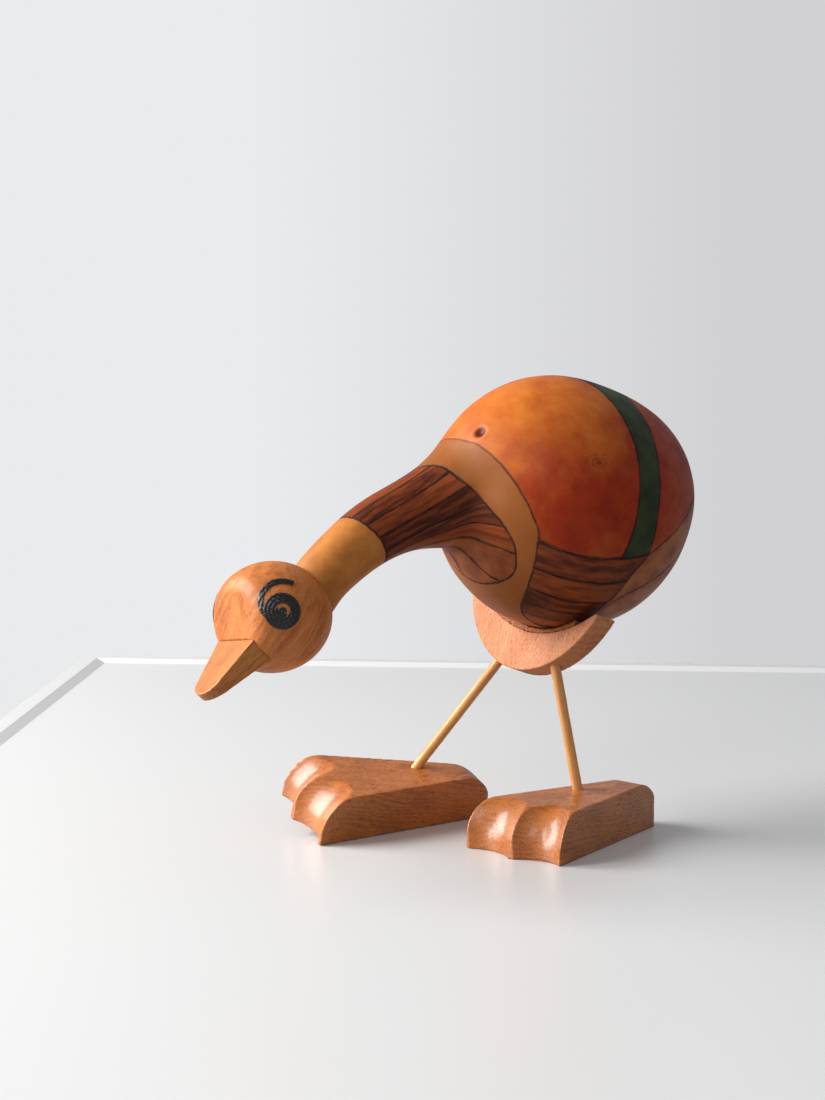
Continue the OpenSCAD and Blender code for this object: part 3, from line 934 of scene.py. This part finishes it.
def camera():
    data = bpy.data.cameras.new("view")
    data.sensor_width = SENSOR
    data.lens = FOCAL_PIXELS / IMAGE_LONG_SIDE * SENSOR
    obj = add_object("view", data)
    obj.location = -VIEW_BACK * AHEAD + VIEW_SIDE * ASIDE + Vector((0, 0, VIEW_HEIGHT))
    look = AHEAD * math.cos(VIEW_PITCH) - Vector((0, 0, math.sin(VIEW_PITCH)))
    obj.rotation_euler = look.to_track_quat("-Z", "Y").to_euler()
    bpy.context.scene.camera = obj


# ---- table ----
# The corner at the camera's left end of the far edge, from the bird, in metres
TABLE_BEHIND = 0.653
TABLE_LEFT = 0.35
# Turn of the table against the camera
TABLE_SKEW = math.radians(4.9)
TABLE_THICK = 0.03
TABLE_SIDE = 3.2
# How much nearer the far edge lies beyond that corner
NOOK_DEPTH = 0.43
RIM_SLOPE = 0.009
RIM_WIDTH = 0.022
RIM_HEIGHT = 0.003
TOP_WHITE = (0.77, 0.77, 0.765, 1)
TOP_SPECKS = (0.90, 0.90, 0.90, 1)
# What the table throws back on the bird is darker than the table that the camera sees
TOP_IN_LIGHT = (0.4, 0.4, 0.4, 1)


def table_mesh():
    """A tabletop with a low rim; its far edge steps nearer on the camera's left."""
    skewed = Matrix.Rotation(-TABLE_SKEW, 3, "Z")
    ahead, aside = skewed @ AHEAD, skewed @ ASIDE
    corner = ahead * TABLE_BEHIND - aside * TABLE_LEFT
    # Corners as distances along the far edge and back from it, each with the ways out of the table
    outline = [((0, 0), (-1, -1)), ((TABLE_SIDE, 0), (1, -1)), ((TABLE_SIDE, TABLE_SIDE), (1, 1)),
               ((-TABLE_SIDE, TABLE_SIDE), (-1, 1)), ((-TABLE_SIDE, NOOK_DEPTH), (-1, -1)),
               ((0, NOOK_DEPTH), (-1, -1))]
    # The rim's section, as distances outwards and up
    profile = [(0, 0), (RIM_SLOPE, RIM_HEIGHT), (RIM_WIDTH, RIM_HEIGHT), (RIM_WIDTH, -TABLE_THICK)]
    bm = bmesh.new()
    rings = []
    for outward, height in profile:
        ring = []
        for (along, back), (out_along, out_back) in outline:
            spot = corner + aside * (along + outward * out_along) - ahead * (back + outward * out_back)
            ring.append(bm.verts.new(spot + Vector((0, 0, height))))
        rings.append(ring)
    bm.faces.new(rings[0])
    bm.faces.new(rings[-1][::-1])
    for inner, outer in zip(rings, rings[1:]):
        for k in range(len(outline)):
            m = (k + 1) % len(outline)
            bm.faces.new((inner[k], outer[k], outer[m], inner[m]))
    bmesh.ops.recalc_face_normals(bm, faces=bm.faces)
    mesh = bpy.data.meshes.new("table")
    bm.to_mesh(mesh)
    bm.free()
    return mesh


def table():
    s = Shader("white_top")
    specks = s.noise(s.place(), 0.35, 3.0, 0.7)
    colour = s.mix(s.step(specks, 0.6, 0.75, 0, 0.25), TOP_WHITE, TOP_SPECKS)
    seen = s.node("LightPath").outputs["Is Camera Ray"]
    colour = s.mix(seen, TOP_IN_LIGHT, colour)
    mesh = table_mesh()
    mesh.materials.append(s.finish(colour, roughness=0.3))
    add_object("table", mesh)


# ---- light ----
# The wall behind, which only the camera sees, has painted light from the window: it shades from its
# lighter left tone to its darker right one between these sines of the angle aside
WALL_LEFT = srgb(234, 235, 236)
WALL_RIGHT = srgb(209, 209, 211)
WALL_FROM = -0.06
WALL_TO = 0.12
ROOM_COLOUR = (0.93, 0.96, 1.0, 1)
ROOM_FILL = 0.3
WINDOW_COLOUR = (1.0, 0.99, 0.98)
WINDOW_POWER = 118
FRONT_POWER = 5
# The lights aim at the middle of the bird
LIT_MIDDLE = Vector((0, 0, 0.15))


def soft_box(name, at, size, power, colour=(1, 1, 1)):
    """A rectangular soft light at a place given from the bird: aside, ahead and up, in metres."""
    data = bpy.data.lights.new(name, "AREA")
    data.shape = "RECTANGLE"
    data.size, data.size_y = size
    data.energy = power
    data.color = colour
    obj = add_object(name, data)
    obj.location = LIT_MIDDLE + ASIDE * at[0] + AHEAD * at[1] + Vector((0, 0, at[2]))
    obj.rotation_euler = (LIT_MIDDLE - obj.location).to_track_quat("-Z", "Y").to_euler()


def room():
    """The wall that the camera sees, with painted light from the window, and the faint even light that the
    room gives.
    """
    world = bpy.data.worlds.new("room")
    bpy.context.scene.world = world
    world.use_nodes = True
    tree = world.node_tree
    tree.nodes.clear()

    def link(a, b):
        tree.links.new(a, b)

    def add(kind):
        return tree.nodes.new("ShaderNode" + kind)

    wall, fill, choose, output = add("Background"), add("Background"), add("MixShader"), add("OutputWorld")
    across = add("VectorMath")
    across.operation = "DOT_PRODUCT"
    across.inputs[1].default_value = ASIDE
    shade = add("MapRange")
    shade.inputs["From Min"].default_value = WALL_FROM
    shade.inputs["From Max"].default_value = WALL_TO
    # Painted light: the wall is lighter on the window's side, on the left
    tone = add("MixRGB")
    tone.inputs[1].default_value = WALL_LEFT
    tone.inputs[2].default_value = WALL_RIGHT
    link(add("TexCoord").outputs["Generated"], across.inputs[0])
    link(across.outputs["Value"], shade.inputs[0])
    link(shade.outputs[0], tone.inputs[0])
    link(tone.outputs[0], wall.inputs[0])
    fill.inputs[0].default_value = ROOM_COLOUR
    fill.inputs[1].default_value = ROOM_FILL
    link(add("LightPath").outputs["Is Camera Ray"], choose.inputs[0])
    link(fill.outputs[0], choose.inputs[1])
    link(wall.outputs[0], choose.inputs[2])
    link(choose.outputs[0], output.inputs[0])


def light():
    """A large window on the camera's left, and a weak light from beside the camera."""
    soft_box("window", (-2.05, 0.1, 1.05), (2.1, 1.7), WINDOW_POWER, WINDOW_COLOUR)
    soft_box("room_front", (-0.55, -1.5, 1.35), (0.8, 0.8), FRONT_POWER)
    bpy.context.scene.view_settings.view_transform = "Standard"


# ---- the scene ----
gourd()
head()
beak()
black = eye_paint()
eye("left_eye", "left_eye_paint", 1, black)
eye("right_eye", "right_eye_paint", -1, black)
saddle()
glue()
leg("left_leg", "left_leg_dowel", 0.4, dowel_wood("left_dowel_wood", "left_leg"))
leg("right_leg", "right_leg_dowel", 2.1, dowel_wood("right_dowel_wood", "right_leg"))
foot("left_foot", "left_foot_block", -77, 0)
foot("right_foot", "right_foot_block", -71, 14)
inner = dowel_wood("inner_dowel_wood", "head_pin")
for hidden in ("head_pin", "beak_pin", "neck_plug"):
    plain_inside(hidden, inner)
table()
room()
light()
camera()
